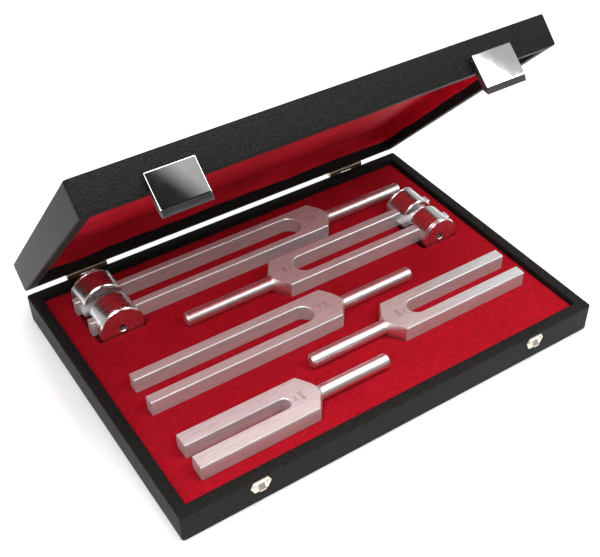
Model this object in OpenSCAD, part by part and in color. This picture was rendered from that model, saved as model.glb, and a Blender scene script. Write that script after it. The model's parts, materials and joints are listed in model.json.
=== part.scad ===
// Boxed set of five tuning forks: two with sliding weights, three plain, in a lined hinged case.
// Millimetres. Origin at the centre of the underside of the case, +X right along the hinge,
// +Y back towards the hinge, +Z up. At rest the lid stands part open and every fork lies in its recess.

/* [Case] */
// outside width of the case, along the hinge
case_w = 260; // [250:1:300]
// outside depth of the case, front to back
case_d = 185; // [178:1:220]
// height of the lower half
base_h = 18; // [17:0.5:24]
// height of the lid
lid_h = 17; // [16.9:0.1:24]
// thickness of the side walls
wall_t = 6.5; // [5:0.5:8]
// thickness of the board that closes the lower half
floor_t = 2; // [1:0.5:2.5]
// thickness of the board that closes the lid
roof_t = 1.6; // [1:0.1:1.6]
// rounding of the upright corners
corner_r = 1.5; // [0.5:0.25:3]
// height of the lined surface above the table
insert_z = 14.8; // [14.2:0.1:15.4]
// angle between the closed and the resting lid
lid_open = 46; // [0:1:100]
// bare strip of lid wall left between the lining and the rim
bare_rim = 6; // [5:0.5:9]

/* [Hinges] */
// distance of each hinge from the middle of the case
hinge_x = 92; // [70:1:100]
// length of a hinge along its pin
hinge_w = 25; // [20:1:30]
// sheet thickness of the leaves
leaf_t = 0.7; // [0.5:0.1:0.7]
// outside radius of the rolled barrel
barrel_r = 1.9; // [1.6:0.1:1.9]
// radius of the hinge pin
hinge_pin_r = 0.85; // [0.6:0.05:0.9]

/* [Clasps] */
// distance of the left clasp from the middle of the case
clasp_left = 87; // [60:0.5:100]
// distance of the right clasp from the middle of the case
clasp_right = 88; // [60:0.5:100]
// width of the plated cover
cover_w = 24.4; // [22:0.2:28]
// height of the flat face of the cover
cover_h = 17.2; // [16.9:0.1:17.8]
// sheet thickness of the cover
cover_t = 0.7; // [0.5:0.1:0.7]
// how far the cover hangs open at rest, from lying flat on the case
clasp_rest = 4; // [0:0.5:20]

/* [Forks] */
// width across both prongs
bar_w = 25; // [24:0.5:26]
// depth of the bar that the forks are cut from
bar_d = 10; // [9:0.5:10]
// bevel along the edges of the bar
bar_c = 0.5; // [0.2:0.1:0.8]
// diameter of the turned stem
stem_d = 8; // [6:0.5:9]
// slope of the turned shoulder, from square across
shoulder_angle = 37; // [20:1:45]
// radius between shoulder and stem
stem_fillet = 2.5; // [1:0.25:3]

/* [Weights] */
// radius of the weights on the 128 Hz fork
weight_r_128 = 13.3; // [12.5:0.1:13.5]
// radius of the weights on the 256 Hz fork
weight_r_256 = 11.7; // [11:0.1:13]
// wall between the outer face of a weight and its prong
weight_wall = 7.5; // [6:0.25:8]
// reach of the upper cheek past the prong
cheek_reach = 4; // [2:0.25:5]
// reach of the lower jaw past the prong
jaw_reach = 6; // [4:0.25:6.25]
// radius of the grub screws
screw_r = 1.95; // [1.5:0.05:2.2]

/* [Hidden] */
$fn = 64;
fit = 0.05;                              // running clearance between moving metal parts
nest = 0.5;                              // play of a fork in its recess
half_w = case_w / 2;
half_d = case_d / 2;
room_w = case_w - 2 * wall_t;
room_d = case_d - 2 * wall_t;
rim_gap = 0.2;                           // play between the closed rims
lid_z = base_h + rim_gap;
lining_t = 1;
soft_gap = 0.2;                          // play round the glued linings

pin_y = half_d + leaf_t + barrel_r;      // axis of the lid hinge
pin_z = base_h + rim_gap / 2;
middle_knuckle = hinge_w / 3;
leaf_h = 9;
nail_r = 0.55;
nail_play = 0.01;
nail_head_r = 1.2;
nail_head_t = 0.5;

clasp_out = 2.1;                         // clasp pivot, from the front of the case
clasp_up = 5.9;                          // clasp pivot, above the rim of the lid
cover_face = 1.9;                        // clasp pivot to the outside of the cover
cover_top = 2.2;                         // clasp pivot to the top of the cover
lip_h = 3.2;
lip_in = 1.3;
clasp_pin_r = 0.75;
ear_r = 1.1;
ear_x = 9;
plate_t = 0.6;
hook_w = 6;
hook_drop = 13.7;                        // clasp pivot down to the top of the hook
catch_w = 11.6;
catch_top = 16.2;
catch_bottom = 8.9;
catch_out = 2.4;
nib_w = 3.4;
nib_bottom = lid_z + clasp_up - hook_drop + 0.15;

bar_z = insert_z - 1.4 + bar_d / 2;      // height of the middle of every fork
shoulder_r = norm([bar_w / 2, bar_d / 2]);
slope = tan(shoulder_angle);
flange_t = 1.4;
groove_w = 0.9;
groove_depth = 0.9;
body_step = 0.3;
edge_c = 0.7;
jaw_z = 3 - bar_d / 2;                   // top of the lower jaw, from the middle of the bar
weight_travel = 1.5;
pocket_play = 0.45;
screw_len = 5.4;
socket_r = 1.15;
socket_depth = 2.2;

// each fork: tip x, axis y, stem direction, prong length, prong thickness, shoulder, stem
f128 = [-111.2, 56.8, 1, 142.6, 4.8, 12.9, 62.5];
f256 = [111.4, 23.2, -1, 104.4, 5.7, 9.8, 61.8];
f512 = [-110.3, -13.6, 1, 105, 6.1, 12, 55.3];
f1024 = [113, -42.3, -1, 73.6, 6.9, 10.1, 54.7];
f2048 = [-109.4, -63.5, 1, 57.6, 8.9, 10.2, 50.8];
weight_in_128 = 15;                      // middle of a weight, from the tip of its prong
weight_in_256 = 12.7;

// side is -1 for the left clasp, 1 for the right
function clasp_x(side) = side < 0 ? -clasp_left : clasp_right;

// ---- placing ----

module lid_pose() {
  translate([0, pin_y, pin_z])
    rotate([-lid_open, 0, 0])
      translate([0, -pin_y, -pin_z])
        children();
}

module clasp_pose(side) {
  lid_pose()
    translate([clasp_x(side), -half_d - clasp_out, lid_z + clasp_up])
      children();
}

module fork_pose(f) {
  translate([f[0], f[1], bar_z])
    rotate([0, 0, f[2] > 0 ? 0 : 180])
      children();
}

// front is -1 for the weight nearer the front of the case, 1 for the other
module weight_pose(f, inset, front) {
  translate([f[0] + f[2] * inset, f[1] + front * bar_w / 2, bar_z])
    rotate([0, 0, front < 0 ? 0 : 180])
      children();
}

// ---- shared shapes ----

module rounded_block(w, d, h, r) {
  translate([-w / 2 + r, -d / 2, 0])
    cube([w - 2 * r, d, h]);
  translate([-w / 2, -d / 2 + r, 0])
    cube([w, d - 2 * r, h]);
  for (x = [-1, 1], y = [-1, 1])
    translate([x * (w / 2 - r), y * (d / 2 - r), 0])
      cylinder(r = r, h = h);
}

module centred_block(w, d, h) {
  translate([-w / 2, -d / 2, 0])
    cube([w, d, h]);
}

// a nail driven along +Y, its head standing off the surface at y = 0
module nail(len) {
  rotate([-90, 0, 0])
    cylinder(r = nail_r, h = len);
  rotate([90, 0, 0])
    cylinder(r1 = nail_head_r, r2 = nail_head_r * 0.6, h = nail_head_t);
}

module nail_hole(len) {
  rotate([-90, 0, 0])
    cylinder(r = nail_r + nail_play, h = len);
}

module across(len, r) {
  rotate([0, 90, 0])
    cylinder(r = r, h = len, center = true);
}

// extrudes a profile drawn as (y, z) along X
module along_x(len) {
  translate([-len / 2, 0, 0])
    rotate([90, 0, 90])
      linear_extrude(len)
        children();
}

// ---- nail layout ----

module at_hinge_nails(z) {
  for (side = [-1, 1], step = [-1, 0, 1])
    translate([side * hinge_x + step * hinge_w * 0.36, half_d + leaf_t, z])
      rotate([0, 0, 180])
        children();
}

module at_catch_nails() {
  for (side = [-1, 1], step = [-1, 1])
    translate([clasp_x(side) + step * 4, -half_d - plate_t, 13.4])
      children();
}

module at_clasp_nails() {
  for (side = [-1, 1], step = [-1, 1])
    translate([clasp_x(side) + step * 6, -half_d - plate_t, lid_z + clasp_up - 4])
      children();
}

base_nail_z = 11.5;
lid_nail_z = 2 * pin_z - base_nail_z;
hinge_nail_len = leaf_t + 4;
front_nail_len = plate_t + 3.5;

// ---- case ----

module base_frame() {
  color("#1b1b1c")
    difference() {
      rounded_block(case_w, case_d, base_h, corner_r);
      translate([0, 0, -1])
        centred_block(room_w, room_d, base_h + 2);
      at_hinge_nails(base_nail_z)
        nail_hole(hinge_nail_len);
      at_catch_nails()
        nail_hole(front_nail_len);
    }
}

module base_panel() {
  color("#202021")
    centred_block(room_w, room_d, floor_t);
}

module lid_shell_frame() {
  difference() {
    translate([0, 0, lid_z])
      rounded_block(case_w, case_d, lid_h, corner_r);
    translate([0, 0, lid_z - 1])
      centred_block(room_w, room_d, lid_h + 2);
    at_hinge_nails(lid_nail_z)
      nail_hole(hinge_nail_len);
    at_clasp_nails()
      nail_hole(front_nail_len);
  }
}

module lid_frame() {
  color("#1b1b1c")
    lid_pose()
      lid_shell_frame();
}

module lid_panel() {
  color("#202021")
    lid_pose()
      translate([0, 0, lid_z + lid_h - roof_t])
        centred_block(room_w, room_d, roof_t);
}

// shallow tray of card and cloth: it covers the inside of the lid and the upper part of its walls
module lid_lining() {
  w = room_w - 2 * soft_gap;
  d = room_d - 2 * soft_gap;
  h = lid_h - roof_t - bare_rim;
  color("#b0122a")
    lid_pose()
      translate([0, 0, lid_z + bare_rim])
        difference() {
          centred_block(w, d, h);
          translate([0, 0, -1])
            centred_block(w - 2 * lining_t, d - 2 * lining_t, h - lining_t + 1);
        }
}

// outline of the recess for a fork, drawn with the tips at x = 0 and the stem towards +X
module recess_outline(f) {
  corner = f[3] + f[5];
  throat = corner + (shoulder_r - stem_d / 2) * slope + nest;
  slot = bar_w / 2 - f[4] - nest;
  difference() {
    translate([-nest, -bar_w / 2 - nest])
      square([corner + 2 * nest, bar_w + 2 * nest]);
    translate([-nest - 1, -slot])
      square([f[3] - slot - nest + 1 + nest, 2 * slot]);
    translate([f[3] - slot - nest, 0])
      circle(r = slot);
  }
  polygon([
    [corner, -bar_w / 2 - nest],
    [corner + nest, -bar_w / 2 - nest],
    [throat, -stem_d / 2 - nest],
    [throat, stem_d / 2 + nest],
    [corner + nest, bar_w / 2 + nest],
    [corner, bar_w / 2 + nest]
  ]);
}

module fork_recess(f) {
  corner = f[3] + f[5];
  fork_pose(f) {
    translate([0, 0, -bar_d / 2])
      linear_extrude(bar_d)
        recess_outline(f);
    translate([corner, 0, 0])
      rotate([0, 90, 0])
        cylinder(r = stem_d / 2 + nest, h = f[6] + 2 * nest);
  }
}

// one deep pocket under both weights of a fork, long enough for them to slide
module weight_recess(f, inset, r) {
  across_y = bar_w + 2 * weight_wall + 2 * pocket_play;
  bore = r + pocket_play;
  translate([f[0] + f[2] * inset, f[1], bar_z]) {
    for (shift = [-weight_travel, weight_travel])
      translate([shift, 0, 0])
        rotate([90, 0, 0])
          cylinder(r = bore, h = across_y, center = true);
    cube([2 * weight_travel, across_y, 2 * bore], center = true);
  }
}

module insert() {
  color("#b3001f")
    difference() {
      translate([0, 0, floor_t])
        centred_block(room_w - 2 * soft_gap, room_d - 2 * soft_gap, insert_z - floor_t);
      fork_recess(f128);
      fork_recess(f256);
      fork_recess(f512);
      fork_recess(f1024);
      fork_recess(f2048);
      weight_recess(f128, weight_in_128, weight_r_128);
      weight_recess(f256, weight_in_256, weight_r_256);
    }
}

// ---- hinges ----

// leaf below the pin; the lid leaf is the same shape turned over
module leaf(side, outer) {
  gap = 0.1;
  reach = outer ? hinge_w : middle_knuckle - gap;
  translate([side * hinge_x, 0, 0])
    difference() {
      union() {
        translate([-hinge_w / 2, half_d, pin_z - 1.2 - leaf_h])
          cube([hinge_w, leaf_t, leaf_h - 0.5]);
        difference() {
          union() {
            translate([-reach / 2, half_d, pin_z - 1.2 - leaf_h])
              cube([reach, leaf_t, leaf_h]);
            translate([-reach / 2, half_d, pin_z - barrel_r + 0.05])
              cube([reach, pin_y - half_d, leaf_t]);
            translate([0, pin_y, pin_z])
              across(reach, barrel_r);
          }
          if (outer)
            translate([-middle_knuckle / 2 - gap / 2, half_d - 1, pin_z - barrel_r - 0.1])
              cube([middle_knuckle + gap, pin_y, 2 * barrel_r + 1]);
        }
      }
      translate([0, pin_y, pin_z])
        across(hinge_w + 1, hinge_pin_r + (outer ? 0 : fit));
    }
}

module base_leaf(side) {
  color("#a48f6a")
    difference() {
      leaf(side, true);
      at_hinge_nails(base_nail_z)
        nail_hole(hinge_nail_len);
    }
}

module lid_leaf(side) {
  color("#a48f6a")
    lid_pose()
      difference() {
        translate([0, 0, 2 * pin_z])
          mirror([0, 0, 1])
            leaf(side, false);
        at_hinge_nails(lid_nail_z)
          nail_hole(hinge_nail_len);
      }
}

module hinge_pin(side) {
  color("#8f8268")
    translate([side * hinge_x, pin_y, pin_z])
      across(hinge_w, hinge_pin_r);
}

module hinge_base_leaf_left() { base_leaf(-1); }
module hinge_base_leaf_right() { base_leaf(1); }
module hinge_lid_leaf_left() { lid_leaf(-1); }
module hinge_lid_leaf_right() { lid_leaf(1); }
module hinge_pin_left() { hinge_pin(-1); }
module hinge_pin_right() { hinge_pin(1); }

module hinge_base_nails() {
  color("#b9a67c")
    at_hinge_nails(base_nail_z)
      nail(hinge_nail_len);
}

module hinge_lid_nails() {
  color("#b9a67c")
    lid_pose()
      at_hinge_nails(lid_nail_z)
        nail(hinge_nail_len);
}

// ---- clasps, drawn round their own pivot ----

module clasp_bracket(side) {
  color("#9c9c98")
    lid_pose()
      difference() {
        translate([clasp_x(side), -half_d - clasp_out, lid_z + clasp_up]) {
          translate([-ear_x, clasp_out - plate_t, -6])
            cube([2 * ear_x, plate_t, 4.8]);
          for (end = [-1, 1])
            translate([end * (ear_x + plate_t / 2), 0, 0])
              difference() {
                union() {
                  across(plate_t, ear_r);
                  translate([-plate_t / 2, 0, -2.6])
                    cube([plate_t, clasp_out, 2.6]);
                  translate([-plate_t / 2, clasp_out - plate_t, -6])
                    cube([plate_t, plate_t, 4.8]);
                }
                across(3, clasp_pin_r);
              }
        }
        at_clasp_nails()
          nail_hole(front_nail_len);
      }
}

module clasp_spring(side) {
  color("#77787a")
    clasp_pose(side)
      along_x(5)
        polygon([
          [clasp_out - plate_t, -5],
          [clasp_out - plate_t, -5.9],
          [-0.2, -11],
          [-0.5, -11],
          [clasp_out - plate_t - 0.3, -5]
        ]);
}

module clasp_pin(side) {
  color("#a8a8a4")
    clasp_pose(side)
      across(cover_w, clasp_pin_r);
}

module clasp_cover(side) {
  foot = cover_h - cover_top;
  color("#d9d9d6")
    clasp_pose(side)
      rotate([-clasp_rest, 0, 0])
        difference() {
          union() {
            translate([-cover_w / 2, -cover_face, -foot])
              cube([cover_w, cover_t, cover_h]);
            translate([-cover_w / 2, -cover_face, cover_top - cover_t])
              cube([cover_w, cover_face, cover_t]);
            along_x(cover_w)
              polygon([
                [-cover_face, -foot],
                [lip_in - cover_face, -foot - lip_h],
                [lip_in - cover_face + cover_t, -foot - lip_h],
                [cover_t - cover_face, -foot]
              ]);
            along_x(hook_w)
              polygon([
                [-1.2, -hook_drop - 0.7],
                [0.5, -hook_drop - 0.7],
                [0.5, -hook_drop],
                [-1.2, -hook_drop]
              ]);
            for (end = [-1, 1])
              translate([end * (cover_w - cover_t) / 2, 0, 0]) {
                across(cover_t, cover_face);
                along_x(cover_t)
                  polygon([
                    [-cover_face, cover_top],
                    [0, cover_top],
                    [0, cover_face],
                    [cover_face, 0],
                    [cover_face, -foot],
                    [lip_in - cover_face + cover_t, -foot - lip_h],
                    [lip_in - cover_face, -foot - lip_h],
                    [-cover_face, -foot]
                  ]);
              }
          }
          across(cover_w + 1, clasp_pin_r + fit);
        }
}

module clasp_bracket_left() { clasp_bracket(-1); }
module clasp_bracket_right() { clasp_bracket(1); }
module clasp_spring_left() { clasp_spring(-1); }
module clasp_spring_right() { clasp_spring(1); }
module clasp_pin_left() { clasp_pin(-1); }
module clasp_pin_right() { clasp_pin(1); }
module clasp_cover_left() { clasp_cover(-1); }
module clasp_cover_right() { clasp_cover(1); }

module clasp_nails() {
  color("#b9b9b4")
    lid_pose()
      at_clasp_nails()
        nail(front_nail_len);
}

// ---- catches on the lower half ----

module catch_plate(side) {
  widest = catch_top - 3;
  bevel = 1.6;
  color("#cfc6b4")
    difference() {
      translate([clasp_x(side), -half_d, 0]) {
        rotate([90, 0, 0])
          linear_extrude(plate_t)
            polygon([
              [-catch_w / 2 + bevel + 0.5, catch_bottom],
              [catch_w / 2 - bevel - 0.5, catch_bottom],
              [catch_w / 2, widest],
              [catch_w / 2 - bevel, catch_top],
              [-catch_w / 2 + bevel, catch_top],
              [-catch_w / 2, widest]
            ]);
        along_x(nib_w)
          polygon([
            [-plate_t, nib_bottom + 3.4],
            [-catch_out + 0.4, nib_bottom + 1.4],
            [-catch_out, nib_bottom + 0.8],
            [-catch_out, nib_bottom],
            [-plate_t, nib_bottom]
          ]);
      }
      at_catch_nails()
        nail_hole(front_nail_len);
    }
}

module catch_left() { catch_plate(-1); }
module catch_right() { catch_plate(1); }

module catch_nails() {
  color("#d8d0bd")
    at_catch_nails()
      nail(front_nail_len);
}

// ---- forks, drawn with the tips at x = 0 and the stem towards +X ----

// bevelled bar from x0, its nearer side at y0
module bevelled_bar(x0, len, y0, w) {
  h = bar_d / 2;
  c = bar_c;
  translate([x0, 0, 0])
    rotate([90, 0, 90])
      linear_extrude(len)
        polygon([
          [y0 + c, -h],
          [y0 + w - c, -h],
          [y0 + w, -h + c],
          [y0 + w, h - c],
          [y0 + w - c, h],
          [y0 + c, h],
          [y0, h - c],
          [y0, -h + c]
        ]);
}

// everything inside the shape that the lathe leaves: cone, fillet and stem round the X axis
module turned_envelope(corner, stem_end) {
  r = stem_d / 2;
  wide = shoulder_r + 4;
  throat = corner + (shoulder_r - r) * slope;
  s = sqrt(1 + slope * slope);
  cx = r + stem_fillet;
  cy = throat - stem_fillet * slope + stem_fillet * s;
  end_c = 1;
  rotate([0, 90, 0])
    rotate_extrude()
      difference() {
        polygon([
          [0, -1],
          [wide, -1],
          [wide, corner - (wide - shoulder_r) * slope],
          [cx - stem_fillet * slope / s, cy - stem_fillet / s],
          [r, cy],
          [r, stem_end - end_c],
          [r - end_c, stem_end],
          [0, stem_end]
        ]);
        translate([cx, cy])
          circle(r = stem_fillet);
      }
}

module fork(f) {
  length = f[3];
  prong = f[4];
  corner = length + f[5];
  slot_r = bar_w / 2 - prong;
  root = length - slot_r;
  h = bar_d / 2;
  color("#b9b4b4")
    fork_pose(f)
      intersection() {
        union() {
          bevelled_bar(0, root, -bar_w / 2, prong);
          bevelled_bar(0, root, bar_w / 2 - prong, prong);
          difference() {
            bevelled_bar(root, corner + f[6] + 1 - root, -bar_w / 2, bar_w);
            translate([root, 0, -h - 1])
              cylinder(r = slot_r, h = bar_d + 2);
            translate([root, 0, h - bar_c])
              cylinder(r1 = slot_r, r2 = slot_r + bar_c, h = bar_c);
            translate([root, 0, -h])
              cylinder(r1 = slot_r + bar_c, r2 = slot_r, h = bar_c);
          }
        }
        turned_envelope(corner, corner + f[6]);
      }
}

module fork_128() { fork(f128); }
module fork_256() { fork(f256); }
module fork_512() { fork(f512); }
module fork_1024() { fork(f1024); }
module fork_2048() { fork(f2048); }

// ---- weights, drawn with the prong's outer side at y = 0 and the outer face towards -Y ----

// round bar along Y from y0 to y1, bevelled at the y1 end
module turned(r, y0, y1, c) {
  translate([0, y0, 0])
    rotate([-90, 0, 0]) {
      cylinder(r = r, h = y1 - y0 - c);
      translate([0, 0, y1 - y0 - c])
        cylinder(r1 = r, r2 = r - c, h = c);
    }
}

module weight(f, inset, r, front) {
  prong = f[4];
  body_r = r - body_step;
  side = bar_d / 2 + fit;
  color("#c0b9b9")
    weight_pose(f, inset, front)
      difference() {
        union() {
          mirror([0, 1, 0])
            turned(r, weight_wall - flange_t, weight_wall, edge_c);
          turned(r - groove_depth, -weight_wall + flange_t, -weight_wall + flange_t + groove_w, 0);
          turned(body_r, -weight_wall + flange_t + groove_w, prong + cheek_reach, edge_c);
          intersection() {
            turned(body_r, 0, prong + jaw_reach, edge_c);
            translate([-r, 0, -r])
              cube([2 * r, prong + jaw_reach, r + jaw_z]);
          }
        }
        translate([-r - 1, -fit, -side])
          cube([2 * r + 2, prong + 2 * fit, 2 * side]);
        translate([-r - 1, prong, jaw_z])
          cube([2 * r + 2, jaw_reach + 1, side - jaw_z]);
        translate([0, -weight_wall - 1, 0])
          rotate([-90, 0, 0])
            cylinder(r = screw_r + fit, h = weight_wall + 2);
        translate([0, -weight_wall, 0])
          rotate([-90, 0, 0])
            cylinder(r1 = screw_r + 0.5, r2 = screw_r + fit, h = 0.45);
      }
}

module grub_screw(f, inset, front) {
  color("#8a8a8c")
    weight_pose(f, inset, front)
      difference() {
        translate([0, -2 * fit - screw_len, 0])
          rotate([-90, 0, 0]) {
            cylinder(r = screw_r, h = screw_len - 0.6);
            translate([0, 0, screw_len - 0.6])
              cylinder(r1 = screw_r, r2 = screw_r - 0.6, h = 0.6);
          }
        translate([0, -2 * fit - screw_len - 1, 0])
          rotate([-90, 0, 0])
            cylinder(r = socket_r, h = socket_depth + 1, $fn = 6);
      }
}

module weight_128_front() { weight(f128, weight_in_128, weight_r_128, -1); }
module weight_128_rear() { weight(f128, weight_in_128, weight_r_128, 1); }
module weight_256_front() { weight(f256, weight_in_256, weight_r_256, -1); }
module weight_256_rear() { weight(f256, weight_in_256, weight_r_256, 1); }
module screw_128_front() { grub_screw(f128, weight_in_128, -1); }
module screw_128_rear() { grub_screw(f128, weight_in_128, 1); }
module screw_256_front() { grub_screw(f256, weight_in_256, -1); }
module screw_256_rear() { grub_screw(f256, weight_in_256, 1); }

// ---- assembly ----

base_frame();
base_panel();
insert();
lid_frame();
lid_panel();
lid_lining();
hinge_base_leaf_left();
hinge_base_leaf_right();
hinge_lid_leaf_left();
hinge_lid_leaf_right();
hinge_pin_left();
hinge_pin_right();
hinge_base_nails();
hinge_lid_nails();
clasp_bracket_left();
clasp_bracket_right();
clasp_spring_left();
clasp_spring_right();
clasp_pin_left();
clasp_pin_right();
clasp_nails();
clasp_cover_left();
clasp_cover_right();
catch_left();
catch_right();
catch_nails();
fork_128();
fork_256();
fork_512();
fork_1024();
fork_2048();
weight_128_front();
weight_128_rear();
weight_256_front();
weight_256_rear();
screw_128_front();
screw_128_rear();
screw_256_front();
screw_256_rear();
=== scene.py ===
import json
import math

import bmesh
import bpy
from mathutils import Euler, Matrix, Vector, noise


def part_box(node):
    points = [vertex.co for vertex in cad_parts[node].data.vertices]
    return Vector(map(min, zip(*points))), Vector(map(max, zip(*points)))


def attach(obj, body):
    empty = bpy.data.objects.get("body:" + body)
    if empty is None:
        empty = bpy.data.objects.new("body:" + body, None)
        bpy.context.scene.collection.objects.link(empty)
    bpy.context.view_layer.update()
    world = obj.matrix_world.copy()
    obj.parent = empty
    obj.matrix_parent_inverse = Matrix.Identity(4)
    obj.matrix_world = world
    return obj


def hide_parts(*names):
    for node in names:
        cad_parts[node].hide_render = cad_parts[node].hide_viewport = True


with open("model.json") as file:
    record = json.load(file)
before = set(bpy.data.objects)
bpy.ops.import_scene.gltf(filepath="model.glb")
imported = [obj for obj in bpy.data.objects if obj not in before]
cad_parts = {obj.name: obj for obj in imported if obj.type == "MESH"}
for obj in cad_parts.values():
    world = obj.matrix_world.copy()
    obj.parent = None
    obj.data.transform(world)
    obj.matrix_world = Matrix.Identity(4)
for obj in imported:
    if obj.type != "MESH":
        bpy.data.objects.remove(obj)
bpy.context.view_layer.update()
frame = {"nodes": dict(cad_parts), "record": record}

MM = 0.001
nodes = frame["nodes"]
joints = {j["name"]: j for j in frame["record"]["behaviour"]["joints"]}

# Sizes of the case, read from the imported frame.
base_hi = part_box("base_frame")[1]
HALF_W = base_hi[0]
HALF_D = base_hi[1]
BASE_H = base_hi[2]
panel_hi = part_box("base_panel")[1]
WALL = HALF_W - panel_hi[0]
hinge = joints["lid_hinge"]
PIVOT = Vector(hinge["pos_m"])
LID_OPEN = math.radians(-hinge["range_deg"][0])
LID_H = 17 * MM
ROOF = 1.6 * MM
LINING_OFF = 0.65 * MM
BARE_RIM = 6.0 * MM
CLOTH = 0.6 * MM
LID_Z = BASE_H + 0.2 * MM


def lid_matrix():
    """Takes the closed lid to its place at rest."""
    turn = Matrix.Rotation(-LID_OPEN, 4, "X")
    return Matrix.Translation(PIVOT) @ turn @ Matrix.Translation(-PIVOT)


# ---------------------------------------------------------------- materials

class Tree:
    """A few short calls for building a node material."""

    def __init__(self, name):
        self.mat = bpy.data.materials.new(name)
        self.mat.use_nodes = True
        self.nt = self.mat.node_tree
        self.bsdf = self.nt.nodes["Principled BSDF"]
        self.coord = self.add("ShaderNodeTexCoord").outputs["Object"]

    def add(self, kind, **values):
        node = self.nt.nodes.new(kind)
        for key, value in values.items():
            setattr(node, key, value)
        return node

    def link(self, a, b):
        self.nt.links.new(a, b)

    def put(self, socket, value):
        if hasattr(value, "is_linked"):
            self.link(value, socket)
        else:
            socket.default_value = value

    def scaled(self, scale, rotation=(0, 0, 0)):
        node = self.add("ShaderNodeMapping")
        self.link(self.coord, node.inputs["Vector"])
        node.inputs["Scale"].default_value = scale
        node.inputs["Rotation"].default_value = rotation
        return node.outputs["Vector"]

    def noise(self, scale, detail=4, roughness=0.5, vector=None, distortion=0.0):
        node = self.add("ShaderNodeTexNoise")
        self.link(vector or self.coord, node.inputs["Vector"])
        node.inputs["Scale"].default_value = scale
        node.inputs["Detail"].default_value = detail
        node.inputs["Roughness"].default_value = roughness
        node.inputs["Distortion"].default_value = distortion
        return node.outputs["Fac"]

    def voronoi(self, scale, feature="F1", vector=None):
        node = self.add("ShaderNodeTexVoronoi", feature=feature)
        self.link(vector or self.coord, node.inputs["Vector"])
        node.inputs["Scale"].default_value = scale
        return node.outputs["Distance"]

    def math(self, operation, a, b=0.0, clamp=False):
        node = self.add("ShaderNodeMath", operation=operation, use_clamp=clamp)
        self.put(node.inputs[0], a)
        self.put(node.inputs[1], b)
        return node.outputs[0]

    def ramp(self, fac, low, high, from_min=0.0, from_max=1.0):
        node = self.add("ShaderNodeMapRange")
        self.put(node.inputs["Value"], fac)
        node.inputs["From Min"].default_value = from_min
        node.inputs["From Max"].default_value = from_max
        node.inputs["To Min"].default_value = low
        node.inputs["To Max"].default_value = high
        return node.outputs["Result"]

    def mix(self, fac, a, b):
        node = self.add("ShaderNodeMix", data_type="RGBA")
        self.put(node.inputs["Factor"], fac)
        self.put(node.inputs["A"], (*a, 1) if isinstance(a, tuple) else a)
        self.put(node.inputs["B"], (*b, 1) if isinstance(b, tuple) else b)
        return node.outputs["Result"]

    def bump(self, height, strength, distance, normal=None):
        node = self.add("ShaderNodeBump")
        self.put(node.inputs["Height"], height)
        node.inputs["Strength"].default_value = strength
        node.inputs["Distance"].default_value = distance
        if normal is not None:
            self.link(normal, node.inputs["Normal"])
        return node.outputs["Normal"]

    def set(self, **values):
        names = {
            "color": "Base Color", "metallic": "Metallic", "roughness": "Roughness",
            "normal": "Normal", "sheen": "Sheen Weight", "sheen_roughness": "Sheen Roughness",
            "sheen_tint": "Sheen Tint", "specular": "Specular IOR Level",
        }
        for key, value in values.items():
            if isinstance(value, tuple) and len(value) == 3:
                value = (*value, 1)
            self.put(self.bsdf.inputs[names[key]], value)
        return self.mat


def leatherette(name):
    t = Tree(name)
    warp = t.noise(300, 2)
    grain = t.voronoi(1000, "SMOOTH_F1")
    pores = t.noise(2400, 3, 0.6)
    broad = t.noise(26, 3)
    height = t.math("ADD", t.math("MULTIPLY", grain, 1.0), t.math("MULTIPLY", pores, 0.35))
    height = t.math("ADD", height, t.math("MULTIPLY", warp, 0.6))
    normal = t.bump(height, 0.9, 0.00048)
    normal = t.bump(broad, 0.12, 0.0012, normal)
    crest = t.ramp(grain, 0.0, 1.0, 0.1, 0.6)
    color = t.mix(crest, (0.0045, 0.0042, 0.0041), (0.012, 0.0114, 0.011))
    rough = t.ramp(pores, 0.40, 0.56, 0.3, 0.7)
    return t.set(color=color, roughness=rough, specular=0.09, normal=normal)


def velvet(name):
    t = Tree(name)
    pile = t.noise(1500, 3, 0.8)
    clump = t.noise(420, 4, 0.65)
    nap = t.noise(26, 4, 0.6, distortion=0.4)
    fibres = t.noise(1500, 3, 0.6, vector=t.scaled((1.0, 0.25, 1.0), (0, 0, 0.5)))
    shade = t.math("ADD", t.math("MULTIPLY", clump, 0.40), t.math("MULTIPLY", pile, 0.45))
    shade = t.math("ADD", shade, t.math("MULTIPLY", nap, 0.15))
    color = t.mix(t.ramp(shade, 0, 1, 0.32, 0.68), (0.17, 0.0011, 0.0045), (0.42, 0.005, 0.016))
    height = t.math("ADD", t.math("MULTIPLY", pile, 0.7), t.math("MULTIPLY", fibres, 0.5))
    normal = t.bump(height, 0.55, 0.0004)
    normal = t.bump(clump, 0.25, 0.0006, normal)
    normal = t.bump(nap, 0.2, 0.0016, normal)
    return t.set(color=color, roughness=0.95, specular=0.08, normal=normal,
                 sheen=0.12, sheen_roughness=0.42, sheen_tint=(0.95, 0.12, 0.16))


def satin(name):
    t = Tree(name)
    warp = t.add("ShaderNodeTexWave", wave_type="BANDS", bands_direction="X")
    t.link(t.coord, warp.inputs["Vector"])
    warp.inputs["Scale"].default_value = 900
    weft = t.add("ShaderNodeTexWave", wave_type="BANDS", bands_direction="Y")
    t.link(t.coord, weft.inputs["Vector"])
    weft.inputs["Scale"].default_value = 1200
    weave = t.math("ADD", warp.outputs["Fac"], weft.outputs["Fac"])
    slub = t.noise(220, 4, 0.6, vector=t.scaled((0.2, 1.0, 1.0)))
    nap = t.noise(18, 3)
    color = t.mix(t.ramp(t.math("ADD", slub, nap), 0, 1, 0.8, 1.25),
                  (0.46, 0.003, 0.014), (0.70, 0.008, 0.028))
    normal = t.bump(weave, 0.16, 0.0001)
    normal = t.bump(slub, 0.25, 0.0002, normal)
    return t.set(color=color, roughness=0.62, specular=0.18, normal=normal,
                 sheen=0.12, sheen_roughness=0.35, sheen_tint=(1.0, 0.10, 0.12))


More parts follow.
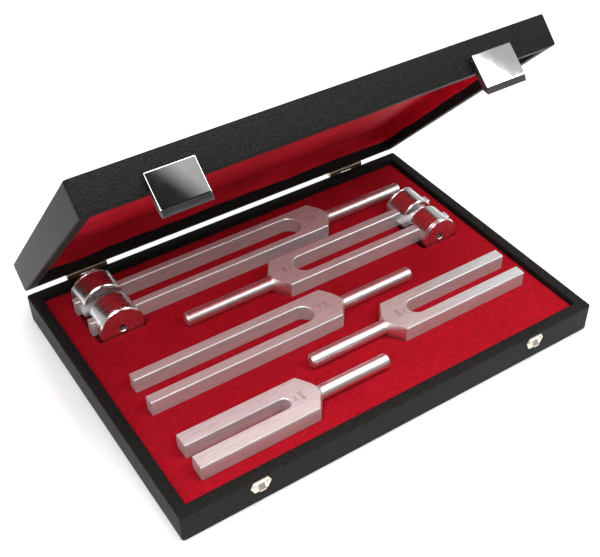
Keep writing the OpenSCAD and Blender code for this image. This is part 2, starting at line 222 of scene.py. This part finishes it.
def drawn_metal(name, along, rough=0.40, tone=(0.80, 0.80, 0.80)):
    """Bar stock with fine lengthwise draw lines; along is the scale of the lines on each axis."""
    t = Tree(name)
    lines = t.noise(1.0, 3, 0.6, vector=t.scaled(along))
    fine = t.noise(1.0, 2, 0.6, vector=t.scaled(tuple(a * 2.3 for a in along)))
    speck = t.noise(2600, 2, 0.5)
    stain = t.noise(45, 4, 0.6)
    both = t.math("ADD", t.math("MULTIPLY", lines, 0.4), t.math("MULTIPLY", fine, 0.35))
    both = t.math("ADD", both, t.math("MULTIPLY", speck, 0.25))
    dark = tuple(c * 0.66 for c in tone)
    color = t.mix(t.ramp(both, 0, 1, 0.34, 0.62), dark, tone)
    color = t.mix(t.ramp(stain, 0.0, 0.10, 0.55, 0.8), color, (0.60, 0.56, 0.55))
    roughness = t.math("ADD", t.ramp(both, rough - 0.06, rough + 0.07, 0.3, 0.7),
                       t.ramp(stain, 0.0, 0.05, 0.5, 0.8))
    normal = t.bump(both, 0.30, 0.00003)
    return t.set(color=color, metallic=0.62, roughness=roughness, normal=normal)


def turned_metal(name, axis, centre, rough=0.37, tone=(0.90, 0.87, 0.87)):
    """Lathe-finished metal: rings round an axis through centre, seen both on the sides and on the ends."""
    t = Tree(name)
    shift = t.add("ShaderNodeVectorMath", operation="SUBTRACT")
    t.link(t.coord, shift.inputs[0])
    shift.inputs[1].default_value = centre
    parts = t.add("ShaderNodeSeparateXYZ")
    t.link(shift.outputs[0], parts.inputs[0])
    names = ["X", "Y", "Z"]
    along = parts.outputs[names.pop(axis)]
    u, v = (parts.outputs[n] for n in names)
    radius = t.math("SQRT", t.math("ADD", t.math("MULTIPLY", u, u), t.math("MULTIPLY", v, v)))
    facing = t.add("ShaderNodeSeparateXYZ")
    t.link(t.add("ShaderNodeNewGeometry").outputs["Normal"], facing.inputs[0])
    end_face = t.math("GREATER_THAN", t.math("ABSOLUTE", facing.outputs["XYZ"[axis]]), 0.6)
    ring = t.math("ADD", along, t.math("MULTIPLY", radius, end_face))
    where = t.add("ShaderNodeCombineXYZ")
    t.link(ring, where.inputs["X"])
    rings = t.noise(1100, 2, 0.6, vector=where.outputs[0])
    coarse = t.noise(420, 2, 0.6, vector=where.outputs[0])
    smear = t.noise(140, 4, 0.6)
    both = t.math("ADD", t.math("MULTIPLY", rings, 0.6), t.math("MULTIPLY", coarse, 0.4))
    color = t.mix(t.ramp(both, 0, 1, 0.35, 0.65), tuple(c * 0.88 for c in tone), tone)
    roughness = t.math("ADD", t.ramp(both, rough - 0.02, rough + 0.04, 0.3, 0.7),
                       t.ramp(smear, 0.0, 0.05, 0.45, 0.8))
    return t.set(color=color, metallic=1.0, roughness=roughness)


def plated(name, tone, rough=0.07, wear=0.08):
    t = Tree(name)
    smear = t.noise(90, 5, 0.6)
    speck = t.noise(1600, 2, 0.5)
    scratch = t.noise(1.0, 4, 0.8, vector=t.scaled((60, 900, 900), (0.3, 0.2, 0.4)))
    rough_map = t.math("ADD", t.ramp(smear, rough, rough + wear, 0.35, 0.75),
                       t.ramp(scratch, 0.0, 0.06, 0.62, 0.8))
    color = t.mix(t.ramp(smear, 0, 1, 0.35, 0.75), tone, tuple(c * 0.86 for c in tone))
    normal = t.bump(speck, 0.02, 0.00005)
    return t.set(color=color, metallic=1.0, roughness=rough_map, normal=normal)


def stamped_dark(name):
    t = Tree(name)
    grime = t.noise(1800, 3)
    color = t.mix(grime, (0.10, 0.085, 0.085), (0.30, 0.27, 0.27))
    return t.set(color=color, metallic=0.7, roughness=0.5, normal=t.bump(grime, 0.2, 0.00005))


M_LEATHER = leatherette("leatherette")
M_VELVET = velvet("velvet")
M_SATIN = satin("satin")
M_BAR = drawn_metal("drawn_bar", (60, 1300, 1300))
M_CLASP = plated("clasp_plate", (0.83, 0.83, 0.82), 0.03, 0.04)
M_PAINTED_DARK_LIP = plated("clasp_lip_painted_dark", (0.16, 0.16, 0.165), 0.30, 0.12)
# dark plating for the clasp lip and the cover's ends: painted dark reflection, standing in for the dark
# surroundings these faces mirror
M_STEEL = plated("pressed_steel", (0.52, 0.52, 0.51), 0.26, 0.16)
M_CATCH = plated("catch_plate", (0.80, 0.74, 0.65), 0.32, 0.16)
M_HINGE = plated("hinge_metal", (0.52, 0.42, 0.29), 0.30, 0.18)
M_SCREW = plated("screw_metal", (0.07, 0.07, 0.075), 0.34, 0.15)
M_MARK = stamped_dark("stamped_mark")


def dress(node, material):
    data = nodes[node].data
    data.materials.clear()
    data.materials.append(material)


def soften(node, width, segments=2, angle=35):
    """Rounds the sharp edges of a CAD piece a little, as any pressed or machined edge is."""
    obj = nodes[node]
    bevel = obj.modifiers.new("edge", "BEVEL")
    bevel.width = width
    bevel.segments = segments
    bevel.limit_method = "ANGLE"
    bevel.angle_limit = math.radians(angle)
    bevel.harden_normals = False


# ---------------------------------------------------------------- mesh helpers

def new_object(name, bm, material, smooth=True):
    bmesh.ops.recalc_face_normals(bm, faces=bm.faces)
    data = bpy.data.meshes.new(name)
    bm.to_mesh(data)
    bm.free()
    data.materials.append(material)
    for face in data.polygons:
        face.use_smooth = smooth
    obj = bpy.data.objects.new(name, data)
    bpy.context.scene.collection.objects.link(obj)
    return obj


def rounded_loop(half_x, half_y, radius, z, steps=6):
    """Points round a rectangle with rounded corners."""
    points = []
    corners = ((1, 1, 0), (-1, 1, 90), (-1, -1, 180), (1, -1, 270))
    for sx, sy, start in corners:
        cx = sx * (half_x - radius)
        cy = sy * (half_y - radius)
        for k in range(steps + 1):
            angle = math.radians(start + 90 * k / steps)
            points.append((cx + radius * math.cos(angle), cy + radius * math.sin(angle), z))
    return points


def shell(name, profile, material, flip):
    """A wall swept round the case from (inset, height) pairs, closed by flat ends.

    flip carries it to the resting place of the lid.
    """
    bm = bmesh.new()
    loops = []
    for inset, z in profile:
        radius = max(1.6 * MM - inset, 0.3 * MM) if inset < 3 * MM else 0.35 * MM
        loop = rounded_loop(HALF_W - inset, HALF_D - inset, radius, z)
        loops.append([bm.verts.new(p) for p in loop])
    count = len(loops[0])
    for a, b in zip(loops, loops[1:]):
        for k in range(count):
            n = (k + 1) % count
            bm.faces.new((a[k], a[n], b[n], b[k]))
    bm.faces.new(loops[0])
    bm.faces.new(loops[-1])
    obj = new_object(name, bm, material)
    if flip:
        obj.data.transform(lid_matrix())
    return obj


def wall_profile(low, high, inside_end, over):
    """Outline of a covered wall: outer foot at low, rolled rim at high, then down inside to inside_end."""
    up = 1 if high > low else -1
    r = 0.9 * MM
    outline = [(2.2 * MM, low)]
    for k in range(5):
        a = math.pi / 2 * k / 4
        outline.append((over * (1 - math.sin(a)), low + up * over * (1 - math.cos(a))))
    for k in range(5):
        a = math.pi / 2 * k / 4
        outline.append((r * (1 - math.cos(a)), high - up * r * (1 - math.sin(a))))
    for k in range(5):
        a = math.pi / 2 * k / 4
        outline.append((WALL - r + r * math.sin(a), high - up * r * (1 - math.cos(a))))
    outline.append((WALL, inside_end))
    return outline


# ---------------------------------------------------------------- case

base = shell("case_shell", wall_profile(0.0, BASE_H, panel_hi[2], 1.0 * MM), M_LEATHER, False)
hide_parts("base_frame", "base_panel")
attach(base, "case")

LID_TOP = LID_Z + LID_H
lid = shell("lid_shell", wall_profile(LID_TOP, LID_Z, LID_TOP - ROOF, 1.0 * MM), M_LEATHER, True)
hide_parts("lid_frame", "lid_panel")
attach(lid, "lid")


def felt_insert():
    """The recessed insert, remeshed finely and relaxed so that the pile rolls over every edge."""
    data = nodes["insert"].data.copy()
    rough = bpy.data.objects.new("insert_rough", data)
    bpy.context.scene.collection.objects.link(rough)
    remesh = rough.modifiers.new("pile", "REMESH")
    remesh.mode = "VOXEL"
    remesh.voxel_size = 0.9 * MM
    relax = rough.modifiers.new("relax", "SMOOTH")
    relax.factor = 0.5
    relax.iterations = 3
    bpy.context.view_layer.update()
    graph = bpy.context.evaluated_depsgraph_get()
    final = bpy.data.meshes.new_from_object(rough.evaluated_get(graph))
    bpy.data.objects.remove(rough)
    final.name = "insert_velvet"
    final.materials.clear()
    final.materials.append(M_VELVET)
    for face in final.polygons:
        face.use_smooth = True
    obj = bpy.data.objects.new("insert_velvet", final)
    bpy.context.scene.collection.objects.link(obj)
    return obj


insert = felt_insert()
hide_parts("insert")
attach(insert, "case")


def dense_loop(half_x, half_y, radius, along_x=84, along_y=58, steps=5):
    """Points round a rounded rectangle, close together on the straights as well."""
    arcs = []
    for sx, sy, start in ((1, 1, 0), (-1, 1, 90), (-1, -1, 180), (1, -1, 270)):
        centre = Vector((sx * (half_x - radius), sy * (half_y - radius)))
        turns = [math.radians(start + 90 * k / steps) for k in range(steps + 1)]
        arcs.append([centre + radius * Vector((math.cos(a), math.sin(a))) for a in turns])
    points = []
    for k, count in enumerate((along_x, along_y, along_x, along_y)):
        points += arcs[k]
        first, last = arcs[k][-1], arcs[(k + 1) % 4][0]
        points += [first.lerp(last, n / count) for n in range(1, count)]
    return points


def lid_cloth():
    """The lid's lining: loose cloth over the roof, turned down the walls to an uneven cut edge."""
    half_x = HALF_W - WALL - LINING_OFF
    half_y = HALF_D - WALL - LINING_OFF
    roof = LID_TOP - ROOF - LINING_OFF
    edge = LID_Z + BARE_RIM
    bend = 2.4 * MM
    rows = []
    for k in range(5):
        rows.append((0.0, edge + (roof - bend - edge) * k / 4, 1 - k / 4, 0.25))
    for k in range(1, 5):
        a = math.pi / 2 * k / 4
        rows.append((bend * (1 - math.cos(a)), roof - bend * (1 - math.sin(a)), 0.0, 0.35))
    bm = bmesh.new()
    loops = []

    def add(loop, z, near_edge, loose):
        made = []
        for p in loop:
            wave = noise.noise(Vector((p.x * 22, p.y * 22, 0.7)))
            curl = noise.noise(Vector((p.x * 75, p.y * 75, 4.1)))
            fold = noise.noise(Vector((p.x * 14 + p.y * 9, p.y * 40 - p.x * 16, 9.0)))
            rise = near_edge * (1.5 * wave + 0.5 * curl) * MM
            pull = 1 - near_edge * (0.5 + 0.5 * curl) * 0.3 * MM / half_y
            sag = loose * (0.9 * abs(wave) + 0.7 * fold * fold) * MM
            made.append(bm.verts.new((p.x * pull, p.y * pull, z + rise - sag)))
        loops.append(made)

    for inset, z, near_edge, loose in rows:
        add(dense_loop(half_x - inset, half_y - inset, max(3 * MM - inset, 0.8 * MM)), z, near_edge, loose)
    rings = 34
    for k in range(1, rings):
        s = 1 - k / rings
        reach = min(1.0, k / 4)
        loop = dense_loop((half_x - bend) * s, (half_y - bend) * s, 0.8 * MM * s)
        add(loop, roof, 0.0, 0.35 + 0.65 * reach)
    count = len(loops[0])
    for a, b in zip(loops, loops[1:]):
        for k in range(count):
            n = (k + 1) % count
            bm.faces.new((a[k], a[n], b[n], b[k]))
    bm.faces.new(loops[-1])
    obj = new_object("lid_cloth", bm, M_SATIN)
    obj.data.transform(lid_matrix())
    thick = obj.modifiers.new("cloth", "SOLIDIFY")
    thick.thickness = CLOTH
    thick.offset = 0.0
    return obj


cloth = lid_cloth()
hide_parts("lid_lining")
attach(cloth, "lid")

# ---------------------------------------------------------------- clasps

COVER_HALF = 12.15 * MM
COVER_FACE = 1.9 * MM
COVER_TOP = 2.2 * MM
COVER_FOOT = 15.0 * MM
LIP_H = 3.2 * MM
LIP_IN = 1.3 * MM
SHEET = 0.55 * MM


def clasp_cover(side, joint):
    """A pressed cover, open at the back, drawn hanging at its rest angle round its own pivot."""
    bm = bmesh.new()
    outline = [
        (COVER_FACE * 0.98, -COVER_FOOT), (COVER_FACE * 0.98, -0.1 * MM),
        (COVER_FACE * 0.70, COVER_TOP * 0.55), (0.05 * MM, COVER_TOP),
        (-COVER_FACE, COVER_TOP), (-COVER_FACE, -COVER_FOOT),
        (LIP_IN - COVER_FACE, -COVER_FOOT - LIP_H), (LIP_IN - COVER_FACE + 0.6 * MM, -COVER_FOOT - LIP_H),
    ]
    left = [bm.verts.new((-COVER_HALF, y, z)) for y, z in outline]
    right = [bm.verts.new((COVER_HALF, y, z)) for y, z in outline]
    bm.faces.new(left)
    bm.faces.new(right)
    top, face, lip = (3, 4), (4, 5), (5, 6)
    for a, b in (top, face, lip):
        bm.faces.new((left[a], left[b], right[b], right[a]))
    bmesh.ops.recalc_face_normals(bm, faces=bm.faces)
    pressed = []
    for edge in bm.edges:
        if len(edge.link_faces) == 2:
            pressed.append(edge)
    bmesh.ops.bevel(bm, geom=pressed, offset=0.5 * MM, segments=3, profile=0.5, affect="EDGES")
    obj = new_object(f"cover_{side}", bm, M_CLASP)
    obj.data.materials.append(M_PAINTED_DARK_LIP)
    # the lip and the two ends of the cover take the dark tone, a painted dark reflection
    for part in obj.data.polygons:
        if part.center.z < -COVER_FOOT - 0.3 * MM or abs(part.normal.x) > 0.9:
            part.material_index = 1
    flip = sum(f.normal.y for f in obj.data.polygons if abs(f.center.x) < 1 * MM and f.center.z > -COVER_FOOT)
    thick = obj.modifiers.new("sheet", "SOLIDIFY")
    thick.thickness = SHEET
    thick.offset = -1.0 if flip < 0 else 1.0
    flat = obj.modifiers.new("flat", "WEIGHTED_NORMAL")
    flat.weight = 100
    pivot = Vector(joint["pos_m"])
    rest = math.radians(-joint["range_deg"][0])
    place = Matrix.Translation(pivot) @ Matrix.Rotation(-LID_OPEN - rest, 4, "X")
    obj.data.transform(place)
    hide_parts(f"clasp_cover_{side}")
    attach(obj, f"clasp_{side}")
    return place


def clasp_tongue(side, place):
    """The bent tongue inside the cover that hooks under the catch."""
    bm = bmesh.new()
    half = 3.0 * MM
    outline = [(-1.25, -13.7), (0.30, -13.7), (0.50, -13.85), (0.50, -14.25), (0.30, -14.4), (-1.25, -14.4)]
    left = [bm.verts.new((-half, y * MM, z * MM)) for y, z in outline]
    right = [bm.verts.new((half, y * MM, z * MM)) for y, z in outline]
    bm.faces.new(left)
    bm.faces.new(right)
    for k in range(len(outline)):
        n = (k + 1) % len(outline)
        bm.faces.new((left[k], left[n], right[n], right[k]))
    obj = new_object(f"tongue_{side}", bm, M_STEEL, smooth=False)
    obj.data.transform(place)
    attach(obj, f"clasp_{side}")


for side in ("left", "right"):
    place = clasp_cover(side, joints[f"clasp_{side}_pivot"])
    clasp_tongue(side, place)
    dress(f"clasp_bracket_{side}", M_STEEL)
    dress(f"clasp_spring_{side}", M_STEEL)
    dress(f"clasp_pin_{side}", M_STEEL)
    dress(f"catch_{side}", M_CATCH)
    soften(f"catch_{side}", 0.14 * MM)
    dress(f"hinge_base_leaf_{side}", M_HINGE)
    dress(f"hinge_lid_leaf_{side}", M_HINGE)
    dress(f"hinge_pin_{side}", M_HINGE)
dress("clasp_nails", M_STEEL)
dress("catch_nails", M_CATCH)
dress("hinge_base_nails", M_HINGE)
dress("hinge_lid_nails", M_HINGE)

# ---------------------------------------------------------------- forks

# which way each stem points along X
FORKS = {"128": 1, "256": -1, "512": 1, "1024": -1, "2048": 1}
# distance from the end of each stem to the start of the turned shoulder, in mm
SHOULDER = {"128": 62.5, "256": 61.8, "512": 55.3, "1024": 54.7, "2048": 50.8}
# distances from there to the middle of the number and of its unit
NUMBER_IN = 3.2 * MM
UNIT_IN = 6.9 * MM
MARK_SIZE = 3.3 * MM
# nothing on the stem is a flat wider than the first; the sides of the bar lie beyond the second
STEM_FACET = 1.2 * MM
BAR_SIDE = 12.4 * MM


def number_mark(text, size, at, turn, name, body):
    """Shallow punched figures, dark in the bottom of the strokes."""
    curve = bpy.data.curves.new(name, "FONT")
    curve.body = text
    curve.size = size
    curve.align_x = "CENTER"
    curve.align_y = "CENTER"
    curve.extrude = 0.012 * MM
    curve.offset = -0.00002
    obj = bpy.data.objects.new(name, curve)
    bpy.context.scene.collection.objects.link(obj)
    obj.matrix_world = Matrix.Translation(at) @ Matrix.Rotation(turn, 4, "Z")
    bpy.context.view_layer.update()
    graph = bpy.context.evaluated_depsgraph_get()
    data = bpy.data.meshes.new_from_object(obj.evaluated_get(graph))
    mark = bpy.data.objects.new(name + "_mark", data)
    mark.matrix_world = obj.matrix_world.copy()
    bpy.data.objects.remove(obj)
    bpy.context.scene.collection.objects.link(mark)
    data.materials.clear()
    data.materials.append(M_MARK)
    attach(mark, body)


def is_flat_stock(data, face, axis_y):
    """True for faces of the bar stock beside the turned shoulder: the top, the bottom and the two sides."""
    widest = max(abs(data.vertices[v].co.y - axis_y) for v in face.vertices)
    level = abs(face.normal.z) > 0.9995 and widest > STEM_FACET
    side = abs(face.normal.y) > 0.9995 and widest > BAR_SIDE
    return level or side


for pitch, way in FORKS.items():
    node = f"fork_{pitch}"
    lo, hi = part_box(node)
    axis_y = (lo[1] + hi[1]) / 2
    axis_z = (lo[2] + hi[2]) / 2
    stem_tip = hi[0] if way > 0 else lo[0]
    corner = stem_tip - way * SHOULDER[pitch] * MM
    data = nodes[node].data
    data.materials.clear()
    data.materials.append(M_BAR)
    data.materials.append(turned_metal(f"turned_{pitch}", 0, (0, axis_y, axis_z)))
    for face in data.polygons:
        if way * (face.center.x - corner) > 0.3 * MM and not is_flat_stock(data, face, axis_y):
            face.material_index = 1
    top = hi[2] + 0.004 * MM
    turn = -way * math.pi / 2
    at = Vector((corner - way * NUMBER_IN, axis_y, top))
    number_mark(pitch, MARK_SIZE, at, turn, f"pitch_{pitch}", node)
    at = Vector((corner - way * UNIT_IN, axis_y, top))
    number_mark("Hz", MARK_SIZE * 0.8, at, turn, f"unit_{pitch}", node)

for pitch in ("128", "256"):
    for side in ("front", "rear"):
        node = f"weight_{pitch}_{side}"
        lo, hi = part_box(node)
        middle = ((lo[0] + hi[0]) / 2, 0, (lo[2] + hi[2]) / 2)
        dress(node, turned_metal(f"turned_{pitch}_{side}", 1, middle, rough=0.26, tone=(0.88, 0.85, 0.85)))
        dress(f"screw_{pitch}_{side}", M_SCREW)

# ---------------------------------------------------------------- stage

floor_mat = Tree("floor")
floor_mat.set(color=(0.95, 0.95, 0.95), roughness=0.75, specular=0.15)
bm = bmesh.new()
bmesh.ops.create_grid(bm, x_segments=2, y_segments=2, size=6.0)
floor = new_object("floor", bm, floor_mat.mat, smooth=False)
floor.location = (0, 0, -0.0002)


def soft_light(name, size_x, size_y, power, at, aim, tint=(1, 1, 1)):
    lamp = bpy.data.lights.new(name, "AREA")
    lamp.shape = "RECTANGLE"
    lamp.size = size_x
    lamp.size_y = size_y
    lamp.energy = power
    lamp.color = tint
    obj = bpy.data.objects.new(name, lamp)
    obj.location = at
    obj.rotation_euler = (Vector(aim) - Vector(at)).to_track_quat("-Z", "Y").to_euler()
    bpy.context.scene.collection.objects.link(obj)
    return obj


soft_light("overhead", 0.9, 0.8, 12.5, (0.12, 0.08, 1.20), (0, -0.03, 0))
soft_light("front", 0.7, 0.4, 9.0, (-0.35, -0.85, 1.05), (0, 0, 0.02))
soft_light("right", 0.26, 0.6, 5.0, (0.676, -0.537, 0.94), (0.05, 0, 0.05))
soft_light("left", 0.5, 0.6, 3.0, (-1.05, -0.15, 0.60), (0, 0, 0.05))

world = bpy.data.worlds.new("studio")
world.use_nodes = True


def studio_light(tree, dark_from, dark_to, bright, dark):
    """An even white room with one darker side, between two headings in degrees from the back, clockwise."""
    def node(kind, **values):
        made = tree.nodes.new(kind)
        for key, value in values.items():
            setattr(made, key, value)
        return made

    def side(heading, sign, soft):
        """0 to 1 across a vertical plane at that heading."""
        angle = math.radians(heading)
        dot = node("ShaderNodeVectorMath", operation="DOT_PRODUCT")
        tree.links.new(direction, dot.inputs[0])
        dot.inputs[1].default_value = (sign * math.cos(angle), -sign * math.sin(angle), 0)
        ramp = node("ShaderNodeMapRange")
        tree.links.new(dot.outputs["Value"], ramp.inputs["Value"])
        ramp.inputs["From Max"].default_value = soft
        return ramp.outputs["Result"]

    direction = node("ShaderNodeTexCoord").outputs["Generated"]
    both = node("ShaderNodeMath", operation="MULTIPLY")
    tree.links.new(side(dark_from, 1, 0.025), both.inputs[0])
    tree.links.new(side(dark_to, -1, 0.5), both.inputs[1])
    level = node("ShaderNodeMapRange")
    tree.links.new(both.outputs[0], level.inputs["Value"])
    level.inputs["To Min"].default_value = bright
    level.inputs["To Max"].default_value = dark
    seen = node("ShaderNodeMix", data_type="FLOAT")
    tree.links.new(node("ShaderNodeLightPath").outputs["Is Camera Ray"], seen.inputs["Factor"])
    tree.links.new(level.outputs["Result"], seen.inputs["A"])
    seen.inputs["B"].default_value = 0.95
    background = tree.nodes["Background"]
    background.inputs["Color"].default_value = (1, 1, 1, 1)
    tree.links.new(seen.outputs["Result"], background.inputs["Strength"])


studio_light(world.node_tree, 140.6, 250, 0.5, 0.02)
bpy.context.scene.world = world

# ---------------------------------------------------------------- camera

CAM_AT = Vector((-0.2286, -0.3569, 0.3990))
CAM_HEADING = math.radians(33.59)
CAM_TILT = math.radians(42.26)
CAM_ROLL = math.radians(-0.27)
LENS = 60.57
SHIFT_X = -0.0321
SHIFT_Y = 0.0447

camera_data = bpy.data.cameras.new("camera")
camera_data.sensor_width = 36.0
camera_data.lens = LENS
camera_data.shift_x = SHIFT_X
camera_data.shift_y = SHIFT_Y
camera = bpy.data.objects.new("camera", camera_data)
camera.location = CAM_AT
turn = Euler((math.pi / 2 - CAM_TILT, 0, -CAM_HEADING), "XYZ").to_matrix()
camera.rotation_euler = (turn @ Matrix.Rotation(CAM_ROLL, 3, "Z")).to_euler()
bpy.context.scene.collection.objects.link(camera)
bpy.context.scene.camera = camera
bpy.context.scene.view_settings.view_transform = "Standard"

bpy.context.view_layer.update()
